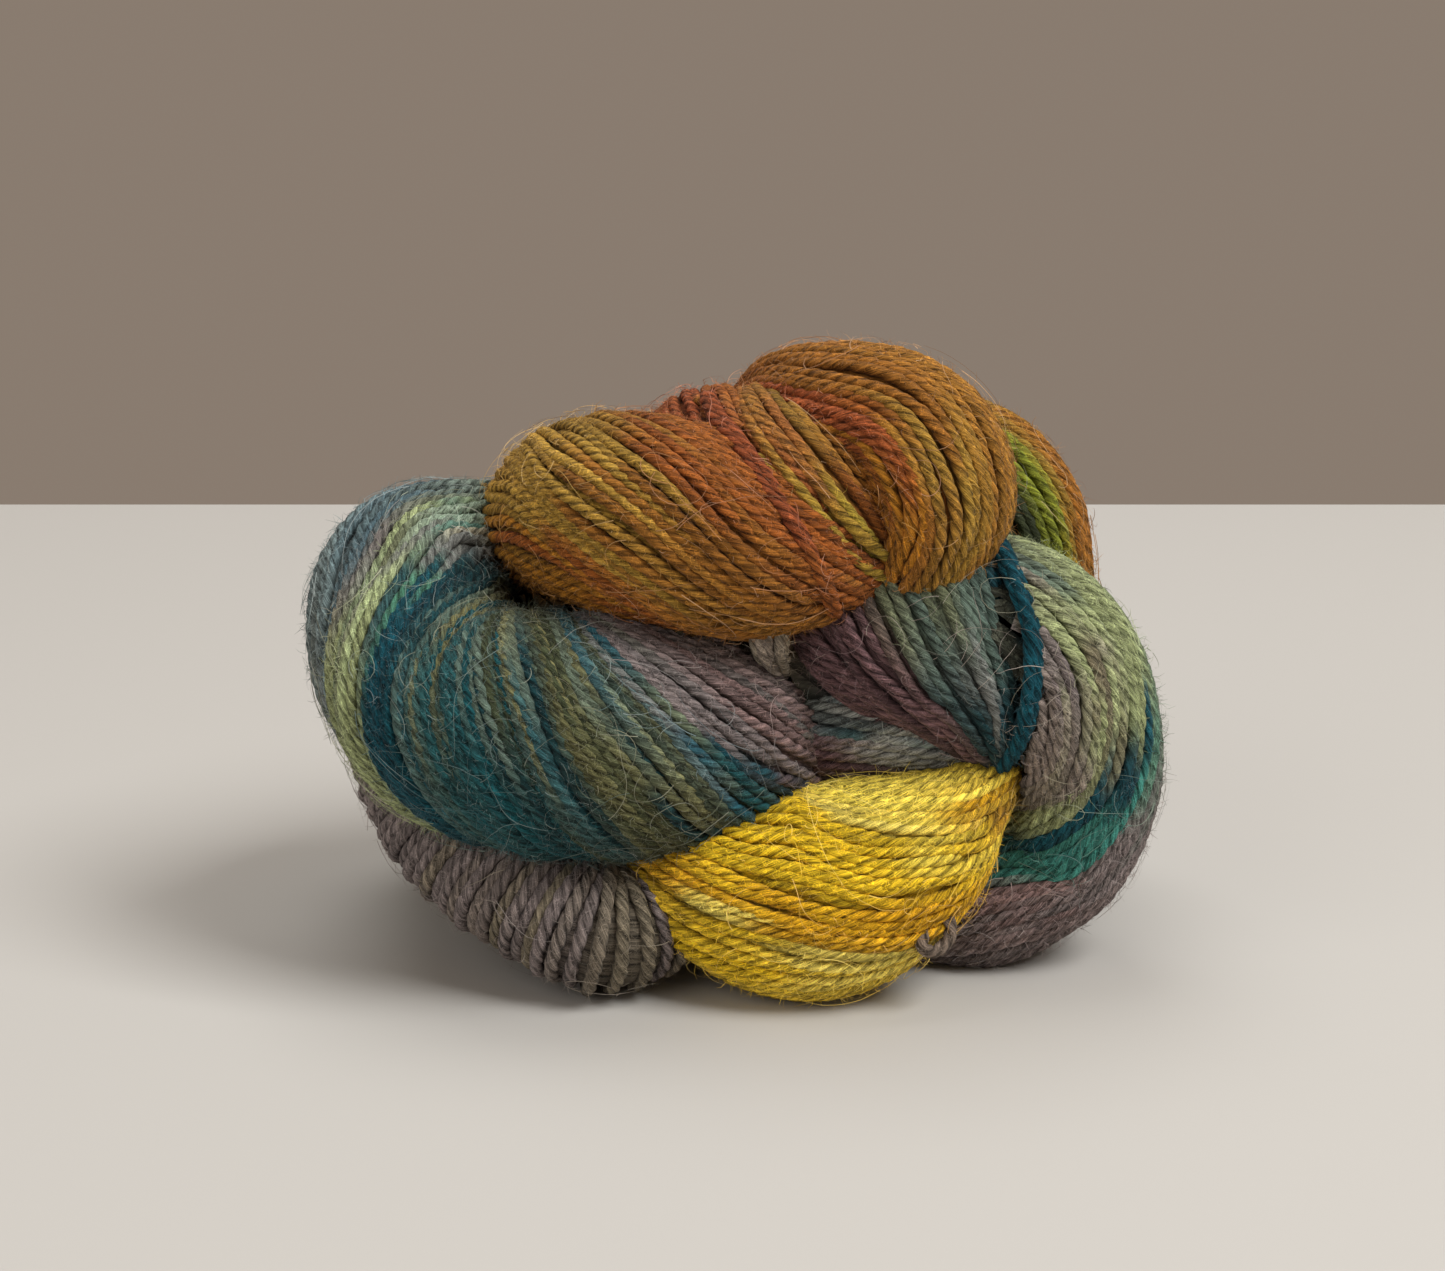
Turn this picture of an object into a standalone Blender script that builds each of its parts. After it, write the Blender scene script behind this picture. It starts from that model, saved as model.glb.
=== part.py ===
"""A hank of hand-dyed plied yarn, twisted into a thick rope and coiled into a bun that rests on a table.

The bun is one solid. Its lobes are the passes of the twisted hank that show. Each is a soft roll of yarns
that swells in the open, draws in where the next pass crosses it, and dives under its neighbours at both ends.
X runs to the right, Y away from the front and Z up. The origin is the bottom centre of the bun.
"""

import math
from collections import namedtuple

import bpy
import numpy as np

# Driving sizes, in millimetres
MM = 0.001
HANK_WIDTH = 130.5
YARN_DIAMETER = 2.4
LINE_STEP = 1.5
REMESH_SIZE = 1.1
MOST_TRIANGLES = 10800

# The lay of the yarns shows on every lobe as rounded ridges, each a few yarns wide
YARNS_TO_A_RIDGE = 3.4
RIDGE_HEIGHT = 1.1
RING_POINTS_TO_A_RIDGE = 6

# The bun as the tables below draw it: its width, and the point that becomes the origin, at its bottom centre
DRAWN_WIDTH = 130.5
MIDDLE = np.array((0.3, -0.3, 0.0))
SCALE = MM * HANK_WIDTH / DRAWN_WIDTH

# Directions that a lobe's broad face looks in
FRONT = (0.0, -0.966, 0.259)
BACK = (0.0, 1.0, 0.0)

# One row is one section of a lobe: its centre, its half width across the face, its half depth, and how far
# the yarns have turned round the lobe by then, in degrees
Section = namedtuple("Section", "x y z wide deep turn")
# around is True where the yarns loop round the lobe instead of running along it
Lobe = namedtuple("Lobe", "colour facing middle yarns around sections")

TEAL = (0.03, 0.16, 0.19)
GREEN_GREY = (0.23, 0.24, 0.17)
YELLOW = (0.66, 0.43, 0.04)
OCHRE = (0.36, 0.17, 0.03)
RUST = (0.40, 0.13, 0.04)
MOSS = (0.24, 0.26, 0.03)
SLATE = (0.20, 0.22, 0.23)
CREAM = (0.50, 0.43, 0.30)
TAUPE = (0.21, 0.17, 0.16)

LOBES = {
    # The big turn at the left, whose yarns fan out from the crease under the top rope
    "teal_turn": Lobe(TEAL, FRONT, 0.5, 52, False, [
        Section(-18.0, 20.0, 54.0, 9.0, 9.0, 0),
        Section(-28.5, 12.0, 58.5, 10.0, 10.0, 0),
        Section(-39.0, 3.0, 59.5, 11.5, 12.0, 0),
        Section(-48.5, -6.0, 57.5, 15.5, 15.0, -20),
        Section(-48.0, -17.0, 49.5, 16.0, 17.0, -60),
        Section(-41.5, -25.0, 42.5, 17.5, 18.0, -140),
        Section(-27.0, -29.0, 40.0, 18.5, 18.0, -250),
        Section(-11.5, -28.0, 39.5, 18.5, 17.0, -345),
        Section(2.5, -18.0, 34.0, 14.5, 14.0, -385),
        Section(10.0, -2.0, 24.0, 10.0, 10.0, -395),
        Section(13.0, 14.0, 16.0, 8.0, 8.0, -400),
    ]),
    # The turn at the right, from the plum end in the middle round to the table
    "green_turn": Lobe(GREEN_GREY, FRONT, 0.45, 42, False, [
        Section(4.5, 10.0, 35.0, 6.0, 6.0, 30),
        Section(10.0, -4.0, 44.0, 7.0, 8.0, 10),
        Section(17.0, -13.0, 51.0, 9.0, 11.0, -20),
        Section(26.0, -18.0, 55.0, 12.0, 14.0, -60),
        Section(37.0, -19.0, 54.5, 14.5, 16.0, -90),
        Section(46.5, -17.0, 47.0, 15.0, 17.0, -110),
        Section(52.0, -14.0, 33.0, 13.4, 17.0, -120),
        Section(48.5, -12.0, 18.5, 12.5, 16.0, -125),
        Section(37.5, -12.0, 10.0, 12.0, 14.0, -130),
        Section(25.0, -4.0, 7.0, 11.0, 12.0, -130),
        Section(13.0, 8.0, 8.0, 9.0, 9.0, -130),
    ]),
    # The yellow swag at the bottom, drawn in at both ends
    "yellow_swag": Lobe(YELLOW, FRONT, 0.5, 40, False, [
        Section(-23.0, 2.0, 23.5, 7.0, 7.0, 0),
        Section(-14.0, -16.0, 22.0, 9.5, 10.0, 0),
        Section(-2.0, -28.0, 17.5, 14.0, 13.0, 0),
        Section(12.5, -31.0, 16.3, 16.8, 14.0, 0),
        Section(27.0, -29.0, 22.5, 13.0, 12.0, 0),
        Section(36.5, -22.0, 29.0, 6.5, 8.0, 0),
        Section(42.0, -10.0, 31.0, 5.0, 5.0, 0),
        Section(44.0, 4.0, 31.0, 5.0, 5.0, 0),
    ]),
    # The top rope: round the back of the bun, about its left end and down across the front
    "ochre_rope": Lobe(OCHRE, FRONT, 0.72, 42, False, [
        Section(37.0, 10.0, 49.0, 9.0, 9.0, 230),
        Section(30.0, 17.0, 59.0, 11.0, 11.0, 210),
        Section(14.0, 21.0, 65.0, 13.0, 13.0, 160),
        Section(-4.0, 22.0, 65.0, 14.0, 14.0, 100),
        Section(-18.0, 17.0, 64.0, 13.5, 13.5, 50),
        Section(-26.0, 5.0, 65.0, 13.5, 13.5, 10),
        Section(-20.5, -13.0, 70.5, 15.0, 15.0, -15),
        Section(-9.5, -25.0, 71.5, 16.0, 16.0, -50),
        Section(3.0, -27.0, 68.0, 14.0, 15.0, -95),
        Section(16.0, -20.0, 64.0, 9.0, 11.0, -125),
        Section(26.5, -4.0, 58.0, 7.0, 8.0, -140),
    ]),
    # The second pass of the top rope, half hidden between the other two
    "rust_pass": Lobe(RUST, FRONT, 0.5, 36, False, [
        Section(-9.0, 20.0, 63.0, 10.0, 10.0, 20),
        Section(-5.0, 6.0, 73.0, 11.0, 12.0, 0),
        Section(1.0, -12.0, 77.0, 13.0, 13.0, -35),
        Section(8.5, -23.0, 75.0, 13.0, 13.0, -70),
        Section(16.5, -22.0, 69.0, 10.0, 11.0, -100),
        Section(24.5, -6.0, 61.0, 7.0, 7.0, -115),
    ]),
    # The third pass, which turns over the top and comes back under itself
    "amber_turn": Lobe(OCHRE, FRONT, 0.5, 36, False, [
        Section(3.0, 18.0, 65.0, 9.0, 9.0, 0),
        Section(7.0, 5.0, 78.0, 11.0, 11.0, 0),
        Section(16.0, -12.0, 84.0, 12.5, 13.5, 0),
        Section(26.5, -19.0, 81.5, 13.0, 15.0, 0),
        Section(30.0, -21.0, 73.0, 12.0, 15.0, 0),
        Section(27.5, -20.0, 66.0, 9.0, 12.0, 0),
        Section(21.5, -12.0, 60.5, 6.5, 8.0, 0),
        Section(15.0, 2.0, 56.5, 5.0, 6.0, 0),
    ]),
    # The pass that goes down behind the right end of the top rope
    "moss_pass": Lobe(MOSS, FRONT, 0.5, 30, False, [
        Section(6.0, 8.0, 63.5, 8.0, 8.0, 0),
        Section(22.0, 6.0, 72.5, 9.5, 11.0, 0),
        Section(37.0, 6.0, 73.5, 10.5, 13.0, 0),
        Section(43.5, 4.0, 66.5, 11.0, 14.0, 0),
        Section(46.0, 3.0, 56.0, 10.5, 14.0, 0),
        Section(46.5, 3.0, 43.5, 10.0, 13.0, 0),
        Section(43.0, 4.0, 31.5, 9.0, 11.0, 0),
    ]),
    # The short length that shows in the middle, over the yellow swag
    "slate_pass": Lobe(SLATE, FRONT, 0.5, 22, False, [
        Section(4.0, 6.0, 22.5, 5.0, 6.0, 0),
        Section(13.0, -12.0, 31.0, 6.5, 8.0, -5),
        Section(24.0, -20.0, 37.0, 7.0, 9.0, -25),
        Section(35.0, -17.0, 35.5, 6.0, 8.0, -35),
        Section(42.0, -4.0, 30.0, 5.0, 6.0, -40),
    ]),
    # A few undyed yarns that cross the gap under the top rope
    "cream_pass": Lobe(CREAM, FRONT, 0.5, 12, False, [
        Section(4.0, -6.0, 64.0, 4.0, 4.0, 0),
        Section(4.5, -18.0, 56.5, 4.0, 4.0, 0),
        Section(5.0, -16.0, 49.5, 4.0, 4.0, 0),
        Section(5.0, -4.0, 41.0, 4.0, 4.0, 0),
    ]),
    # The folded end of the hank at the lower left, whose yarns loop round it and tuck under
    "taupe_fold": Lobe(TAUPE, FRONT, 0.5, 40, True, [
        Section(-54.5, 6.0, 35.5, 7.0, 7.0, 0),
        Section(-51.0, -8.0, 29.5, 8.5, 9.0, 0),
        Section(-45.0, -17.0, 22.5, 9.5, 10.0, 0),
        Section(-36.5, -24.0, 17.0, 10.0, 11.0, 0),
        Section(-27.5, -29.0, 13.0, 10.0, 11.0, 0),
        Section(-19.5, -31.0, 10.5, 10.5, 11.0, 0),
        Section(-13.5, -27.0, 11.0, 9.5, 10.0, 0),
        Section(-9.5, -14.0, 13.0, 7.0, 7.0, 0),
    ]),
    # Behind: two more turns and the pass between them
    "back_left_turn": Lobe(TEAL, BACK, 0.5, 46, False, [
        Section(-18.0, 4.0, 57.0, 12.0, 12.0, 0),
        Section(-36.0, 8.0, 53.0, 14.0, 15.0, 0),
        Section(-47.0, 13.0, 39.0, 14.5, 17.0, -20),
        Section(-44.0, 18.0, 24.0, 14.5, 17.0, -60),
        Section(-26.0, 27.0, 15.0, 15.0, 15.0, -130),
        Section(-4.0, 28.0, 13.0, 13.5, 14.0, -180),
        Section(12.0, 20.0, 16.0, 10.0, 10.0, -200),
    ]),
    "back_right_turn": Lobe(GREEN_GREY, BACK, 0.5, 46, False, [
        Section(14.0, 10.0, 55.0, 11.0, 12.0, 0),
        Section(30.0, 14.0, 56.0, 13.0, 15.0, 0),
        Section(43.0, 15.0, 45.0, 14.0, 17.0, 20),
        Section(46.0, 17.0, 29.0, 14.0, 18.0, 60),
        Section(32.0, 25.0, 14.5, 14.5, 16.0, 120),
        Section(10.0, 30.0, 13.0, 13.5, 13.0, 170),
        Section(-8.0, 25.0, 18.0, 10.0, 10.0, 190),
    ]),
    "back_pass": Lobe(OCHRE, BACK, 0.5, 44, False, [
        Section(-40.0, 13.0, 45.0, 9.0, 9.0, 0),
        Section(-30.0, 23.0, 43.0, 12.5, 12.0, 20),
        Section(-12.0, 30.0, 42.0, 15.0, 14.0, 70),
        Section(8.0, 32.0, 43.0, 15.0, 14.0, 120),
        Section(26.0, 27.0, 47.0, 12.0, 12.0, 170),
        Section(36.0, 17.0, 49.0, 9.0, 9.0, 190),
    ]),
    # The lowest pass, which the bun sits on
    "base_pass": Lobe(SLATE, FRONT, 0.5, 36, False, [
        Section(-38.0, 2.0, 17.0, 9.0, 10.0, 0),
        Section(-22.0, -4.0, 13.0, 12.0, 14.0, 0),
        Section(-2.0, -4.0, 12.0, 13.0, 17.0, 0),
        Section(18.0, -2.0, 12.0, 13.0, 17.0, 0),
        Section(36.0, 4.0, 15.0, 10.0, 12.0, 0),
    ]),
}

# What the passes enclose is more of the same yarn: a plain egg that leaves no hollow inside
CORE_CENTRE = (0.0, -1.0, 44.0)
CORE_HALF = (40.0, 27.0, 34.0)
CORE_SEGMENTS = 32
CORE_RINGS = 16

# How a table's rows become a lobe
LINE_POINTS_TO_A_ROW = 12
# Shares of the end radius at which the rings of a lobe's round end stand
END_RINGS = (0.45, 0.8, 0.97)
THINNEST = 1.0
# On the inner side of a bend the yarns crowd between these shares of the way to the bend's centre
CROWDS_FROM = 0.75
CROWDS_TO = 0.975

# The block that stands for the table when the bun's underside is cut level
TABLE_WIDTH = 300.0
TABLE_DEPTH = 20.0


def smooth_line(sections):
    """A centripetal Catmull-Rom line through a table's rows, resampled at an even step along the line."""
    rows = np.array(sections, float)
    rows = np.vstack([2 * rows[0] - rows[1], rows, 2 * rows[-1] - rows[-2]])
    knots = np.zeros(len(rows))
    knots[1:] = np.cumsum(np.linalg.norm(np.diff(rows[:, :3], axis=0), axis=1) ** 0.5)

    def blend(low, high, start, stop, at):
        share = (at - knots[start]) / (knots[stop] - knots[start])
        return low + (high - low) * share

    pieces = []
    for i in range(1, len(rows) - 2):
        at = np.linspace(knots[i], knots[i + 1], LINE_POINTS_TO_A_ROW, endpoint=False)[:, None]
        first = blend(rows[i - 1], rows[i], i - 1, i, at)
        second = blend(rows[i], rows[i + 1], i, i + 1, at)
        third = blend(rows[i + 1], rows[i + 2], i + 1, i + 2, at)
        left = blend(first, second, i - 1, i + 1, at)
        right = blend(second, third, i, i + 2, at)
        pieces.append(blend(left, right, i, i + 1, at))
    line = np.vstack([*pieces, rows[-2:-1]])
    along = np.zeros(len(line))
    along[1:] = np.cumsum(np.linalg.norm(np.diff(line[:, :3], axis=0), axis=1))
    even = np.linspace(0.0, along[-1], round(along[-1] / LINE_STEP) + 1)
    return np.column_stack([np.interp(even, along, column) for column in line.T])


def unit(vectors):
    return vectors / np.linalg.norm(vectors, axis=-1, keepdims=True)


def carried_frames(centres, start, facing):
    """Tangents, and face directions carried along the line from start both ways without spinning."""
    tangents = unit(np.gradient(centres, axis=0))
    faces = np.zeros_like(centres)
    faces[start] = unit(facing - (facing @ tangents[start]) * tangents[start])
    forward = [(i, i + 1) for i in range(start, len(centres) - 1)]
    backward = [(i, i - 1) for i in range(start, 0, -1)]
    for here, there in forward + backward:
        faces[there] = unit(faces[here] - (faces[here] @ tangents[there]) * tangents[there])
    return tangents, faces


def crowded(offsets, bends):
    """Offsets drawn in on the inner side of a tight bend, where the yarns pinch together and can't cross."""
    reach = (offsets * bends).sum(-1, keepdims=True)
    room = CROWDS_TO - CROWDS_FROM
    drawn_in = CROWDS_FROM + room * np.tanh((reach - CROWDS_FROM) / room)
    strength = np.maximum((bends * bends).sum(-1, keepdims=True), 1e-9)
    return offsets + bends * (np.where(reach > CROWDS_FROM, drawn_in, reach) - reach) / strength


def lay_of_yarns(lobe, angles, turns):
    """How deep each point of a lobe lies between the ridges that its yarns make, in millimetres."""
    ridges = round(lobe.yarns / YARNS_TO_A_RIDGE)
    wave = ridges * (angles[None] - turns[:, None])
    if lobe.around:
        pitch = YARNS_TO_A_RIDGE * YARN_DIAMETER
        wave = 2 * math.pi * np.arange(len(turns))[:, None] * LINE_STEP / pitch + 0 * wave
    return RIDGE_HEIGHT * (0.5 - 0.5 * np.cos(wave))


def round_end(centre, outward, offsets, radius):
    """Rings that close a lobe's end with a dome, from the lobe outwards."""
    return [centre + outward * radius * share + offsets * math.sqrt(1 - share**2) for share in END_RINGS]


def skin_faces(ring_count, ring_size):
    """Quads between the rings of a lobe, and a face over each end."""
    faces = []
    for i in range(ring_count - 1):
        for j in range(ring_size):
            k = (j + 1) % ring_size
            here = i * ring_size
            there = here + ring_size
            faces.append((here + j, there + j, there + k, here + k))
    last = (ring_count - 1) * ring_size
    return faces + [tuple(range(ring_size)), tuple(range(last + ring_size - 1, last - 1, -1))]


def lobe_skin(lobe):
    """Points and faces of one closed lobe with round ends."""
    line = smooth_line(lobe.sections)
    centres, wide, deep = line[:, :3], line[:, 3], line[:, 4]
    tangents, faces = carried_frames(centres, int(lobe.middle * (len(line) - 1)), np.array(lobe.facing))
    sides = np.cross(tangents, faces)
    bends = np.gradient(tangents, axis=0) / LINE_STEP

    count = round(lobe.yarns / YARNS_TO_A_RIDGE) * RING_POINTS_TO_A_RIDGE
    angles = np.linspace(0.0, 2 * math.pi, count, endpoint=False)
    inset = lay_of_yarns(lobe, angles, np.radians(line[:, 5]))
    across = np.maximum(wide[:, None] - inset, THINNEST) * np.cos(angles)
    out = np.maximum(deep[:, None] - inset, THINNEST) * np.sin(angles)
    offsets = crowded(across[..., None] * sides[:, None] + out[..., None] * faces[:, None], bends[:, None])

    first = round_end(centres[0], -tangents[0], offsets[0], min(wide[0], deep[0]))
    last = round_end(centres[-1], tangents[-1], offsets[-1], min(wide[-1], deep[-1]))
    rings = [*reversed(first), *(centres[:, None] + offsets), *last]
    return np.vstack(rings), skin_faces(len(rings), count)


def core_skin():
    """Points and faces of the egg inside the passes, from Blender's own sphere."""
    bpy.ops.mesh.primitive_uv_sphere_add(segments=CORE_SEGMENTS, ring_count=CORE_RINGS, radius=1.0)
    egg = bpy.context.object
    points = np.array([tuple(v.co) for v in egg.data.vertices]) * CORE_HALF
    faces = [tuple(p.vertices) for p in egg.data.polygons]
    bpy.data.objects.remove(egg)
    return points + np.array(CORE_CENTRE), faces


def joined(skins, name):
    """One mesh object, in metres, from several closed skins that overlap."""
    points, faces, count = [], [], 0
    for skin_points, skin_corners in skins:
        points.append((skin_points - MIDDLE) * SCALE)
        faces += [tuple(count + i for i in face) for face in skin_corners]
        count += len(skin_points)
    mesh = bpy.data.meshes.new(name)
    mesh.from_pydata(np.vstack(points).tolist(), [], faces)
    made = bpy.data.objects.new(name, mesh)
    bpy.context.collection.objects.link(made)
    return made


def apply_modifiers(made):
    """Puts what the object's modifiers make into its mesh."""
    graph = bpy.context.evaluated_depsgraph_get()
    mesh = bpy.data.meshes.new_from_object(made.evaluated_get(graph))
    made.modifiers.clear()
    made.data = mesh


def fuse(made):
    """Melts the overlapping lobes into one skin, then keeps only the triangles that its form needs."""
    melt = made.modifiers.new("melt", "REMESH")
    melt.mode = "VOXEL"
    melt.voxel_size = REMESH_SIZE * MM
    apply_modifiers(made)
    triangles = sum(len(p.vertices) - 2 for p in made.data.polygons)
    thin = made.modifiers.new("thin", "DECIMATE")
    thin.ratio = MOST_TRIANGLES / triangles
    apply_modifiers(made)


def cut_level(made):
    """Cuts the bun off level with the table, which leaves the flat patches that it rests on."""
    bpy.ops.mesh.primitive_cube_add(size=MM, location=(0.0, 0.0, -TABLE_DEPTH / 2 * MM))
    table = bpy.context.object
    table.scale = (TABLE_WIDTH, TABLE_WIDTH, TABLE_DEPTH)
    level = made.modifiers.new("level", "BOOLEAN")
    level.operation = "DIFFERENCE"
    level.solver = "EXACT"
    level.object = table
    apply_modifiers(made)
    bpy.data.objects.remove(table)


def wool(name, colour):
    """The matt, slightly fuzzy finish of one dye."""
    finish = bpy.data.materials.new(name)
    finish.use_nodes = True
    shader = finish.node_tree.nodes["Principled BSDF"]
    shader.inputs["Base Color"].default_value = (*colour, 1.0)
    shader.inputs["Roughness"].default_value = 0.85
    shader.inputs["Metallic"].default_value = 0.0
    shader.inputs["Sheen Weight"].default_value = 0.3
    return finish


def dye(made):
    """Gives each face the dye of the lobe that it lies nearest to, measured in that lobe's own widths."""
    faces = np.array([p.center for p in made.data.polygons]) / SCALE + MIDDLE
    nearness = []
    for name, lobe in LOBES.items():
        made.data.materials.append(wool(name, lobe.colour))
        line = smooth_line(lobe.sections)
        away = np.linalg.norm(faces[:, None] - line[None, :, :3], axis=2)
        nearness.append((away / np.sqrt(line[:, 3] * line[:, 4])).min(axis=1))
    made.data.polygons.foreach_set("material_index", np.argmin(nearness, axis=0).astype(np.int32))


def main():
    for old in list(bpy.data.objects):
        bpy.data.objects.remove(old)
    hank = joined([*(lobe_skin(lobe) for lobe in LOBES.values()), core_skin()], "hank")
    fuse(hank)
    cut_level(hank)
    dye(hank)
    hank.data.shade_smooth()


main()
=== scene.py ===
import math

import bpy
import numpy as np
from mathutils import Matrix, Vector
from mathutils.bvhtree import BVHTree


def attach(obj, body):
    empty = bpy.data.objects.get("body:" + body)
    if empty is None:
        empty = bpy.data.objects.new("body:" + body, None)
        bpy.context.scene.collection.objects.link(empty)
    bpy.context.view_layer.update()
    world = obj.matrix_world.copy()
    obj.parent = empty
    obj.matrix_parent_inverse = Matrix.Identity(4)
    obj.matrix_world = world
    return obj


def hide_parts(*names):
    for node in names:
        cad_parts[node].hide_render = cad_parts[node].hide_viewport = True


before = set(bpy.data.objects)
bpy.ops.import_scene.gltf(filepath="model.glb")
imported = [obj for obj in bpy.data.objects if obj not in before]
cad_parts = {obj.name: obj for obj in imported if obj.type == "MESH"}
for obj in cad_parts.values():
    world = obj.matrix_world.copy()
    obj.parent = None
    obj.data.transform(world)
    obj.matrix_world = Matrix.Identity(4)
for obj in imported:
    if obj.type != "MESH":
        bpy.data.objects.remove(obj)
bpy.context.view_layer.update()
mm = 0.001


# Camera: a short telephoto look from just above the table, square to the bun's front

camera = {
    "lens": 85.0,
    "sensor": 36.0,
    "elevation": 15.0,  # degrees above the table
    "distance": 517.0,  # mm, from the bun's front foot
    "pixelsToAMm": 6.6,  # of the photo, at that distance
    "photoMiddle": (722.5, 635.5),
    "footInPhoto": (735.0, 990.0),  # where the bun's front foot stands in the photo
    "foot": (-0.3, -29.7, 0.0),  # the same spot in the part's frame
}


def sight(spec):  # the camera's back and up, and how far past the bun's foot it aims, in mm
    lift = math.radians(spec["elevation"])
    back = np.array((0.0, -math.cos(lift), math.sin(lift)))
    up = np.array((0.0, math.sin(lift), math.cos(lift)))
    across = (spec["photoMiddle"][0] - spec["footInPhoto"][0]) / spec["pixelsToAMm"]
    above = (spec["footInPhoto"][1] - spec["photoMiddle"][1]) / spec["pixelsToAMm"]
    return back, up, across, above


def makeCamera(spec):
    back, up, across, above = sight(spec)
    aim = np.array(spec["foot"]) + (across, 0.0, 0.0) + up * above
    data = bpy.data.cameras.new("camera")
    data.lens = spec["lens"]
    data.sensor_width = spec["sensor"]
    made = bpy.data.objects.new("camera", data)
    made.location = (aim + back * spec["distance"]) * mm
    made.rotation_euler = Vector(back).to_track_quat("Z", "Y").to_euler()
    bpy.context.collection.objects.link(made)
    bpy.context.scene.camera = made


makeCamera(camera)
print("camera placed")


# Shader maths: a socket that can be used in plain expressions

class Sock:
    def __init__(self, tree, socket):
        self.tree = tree
        self.socket = socket

    def maths(self, operation, *values):
        return node(self.tree, "ShaderNodeMath", {"operation": operation}, dict(enumerate(values)))

    def __add__(self, other):
        return self.maths("ADD", self, other)

    def __radd__(self, other):
        return self.maths("ADD", other, self)

    def __sub__(self, other):
        return self.maths("SUBTRACT", self, other)

    def __rsub__(self, other):
        return self.maths("SUBTRACT", other, self)

    def __mul__(self, other):
        return self.maths("MULTIPLY", self, other)

    def __rmul__(self, other):
        return self.maths("MULTIPLY", other, self)

    def __truediv__(self, other):
        return self.maths("DIVIDE", self, other)


def node(tree, kind, settings=None, inputs=None, output=0):
    made = tree.nodes.new(kind)
    for name, value in (settings or {}).items():
        setattr(made, name, value)
    for name, value in (inputs or {}).items():
        if isinstance(value, Sock):
            tree.links.new(value.socket, made.inputs[name])
        else:
            made.inputs[name].default_value = value
    return Sock(tree, made.outputs[output])


def scaled(colour, share):  # a colour, brightened or darkened by a number
    return node(colour.tree, "ShaderNodeVectorMath", {"operation": "SCALE"}, {0: colour, "Scale": share})


def finish(name, constants):
    made = bpy.data.materials.new(name)
    made.use_nodes = True
    shader = made.node_tree.nodes["Principled BSDF"]
    for socket, value in constants.items():
        shader.inputs[socket].default_value = value
    return made, made.node_tree, shader


def feed(shader, socket, value):
    value.tree.links.new(value.socket, shader.inputs[socket])


# Wool: the dye comes with the mesh, and the fibres run along each yarn

yarnFinish = {
    "roughness": 0.82,
    "sheen": 0.04,
    "sheenRoughness": 0.5,
    "specular": 0.12,
    "streakAlong": 0.45,  # streaks to the millimetre along the yarn
    "streakAcross": 3.6,  # and round it
    "streakDepth": 0.22,  # mm
    "heather": 2.6,  # how far the streaks lighten and darken the dye
    "slub": 0.45,  # and the broader unevenness
    "darkest": 0.15,
    "plyWidth": 2.5,  # mm of the yarn's girth
    "plyGroove": 0.24,  # share of a ply's width that lies in shade, from its edge
    "plyShade": 0.36,  # how light the bottom of that groove is
    "hairScale": (520.0, 830.0),  # of the fine hairs that lie on a yarn, to the metre
    "hairWidth": 0.016,
    "hairPale": 0.9,
    "hairRise": 0.4,  # against the streaks' own
    "plyRise": 0.7,
}


def lyingHairs(tree, place, scale, width):  # thin curly lines, where a smooth noise passes its middle
    bumps = node(tree, "ShaderNodeTexNoise", {}, {"Vector": place, "Scale": scale, "Detail": 1.5})
    off = bumps - 0.5
    line = 1.0 - off.maths("ABSOLUTE", off) / width
    return line.maths("MAXIMUM", line, 0.0)


def makeYarnFinish(name, spec):
    made, tree, shader = finish(name, {
        "Roughness": spec["roughness"],
        "Sheen Weight": spec["sheen"],
        "Sheen Roughness": spec["sheenRoughness"],
        "Specular IOR Level": spec["specular"],
    })
    dye = node(tree, "ShaderNodeAttribute", {"attribute_name": "dye"})
    lay = node(tree, "ShaderNodeUVMap", {"uv_map": "lay"})
    stretch = (spec["streakAlong"], spec["streakAcross"], 1.0)
    along = node(tree, "ShaderNodeVectorMath", {"operation": "MULTIPLY"}, {0: lay, 1: stretch})
    streaks = node(tree, "ShaderNodeTexNoise", {}, {"Vector": along, "Scale": 1.0, "Detail": 4.0, "Roughness": 0.7})
    place = node(tree, "ShaderNodeTexCoord", output=3)
    slubs = node(tree, "ShaderNodeTexNoise", {}, {"Vector": place, "Scale": 260.0, "Detail": 2.0})
    shade = 1.0 + (streaks - 0.5) * (2.0 * spec["heather"]) + (slubs - 0.5) * (2.0 * spec["slub"])
    # Painted shade: the dye is darkened towards each ply's edges, in the grooves between plies
    ply = node(tree, "ShaderNodeSeparateXYZ", {}, {0: lay}, output=1) / spec["plyWidth"]
    fromEdge = ply.maths("PINGPONG", ply, 0.5)  # 0 in a groove, 0.5 on a ply's crest
    crest = fromEdge.maths("MINIMUM", fromEdge / spec["plyGroove"], 1.0)
    shade = shade * (spec["plyShade"] + (1.0 - spec["plyShade"]) * crest)
    coarse, fine = (lyingHairs(tree, place, scale, spec["hairWidth"]) for scale in spec["hairScale"])
    hairs = coarse.maths("MAXIMUM", coarse, fine)
    shade = shade.maths("MAXIMUM", shade, spec["darkest"]) + hairs * spec["hairPale"]
    feed(shader, "Base Color", scaled(dye, shade))
    height = streaks + hairs * spec["hairRise"] + crest * spec["plyRise"]
    depth = spec["streakDepth"] * mm
    feed(shader, "Normal", node(tree, "ShaderNodeBump", {}, {"Strength": 0.8, "Distance": depth, "Height": height}))
    return made


woolMaterial = makeYarnFinish("wool", yarnFinish)


# Dyes, as they look in plain light

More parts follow.
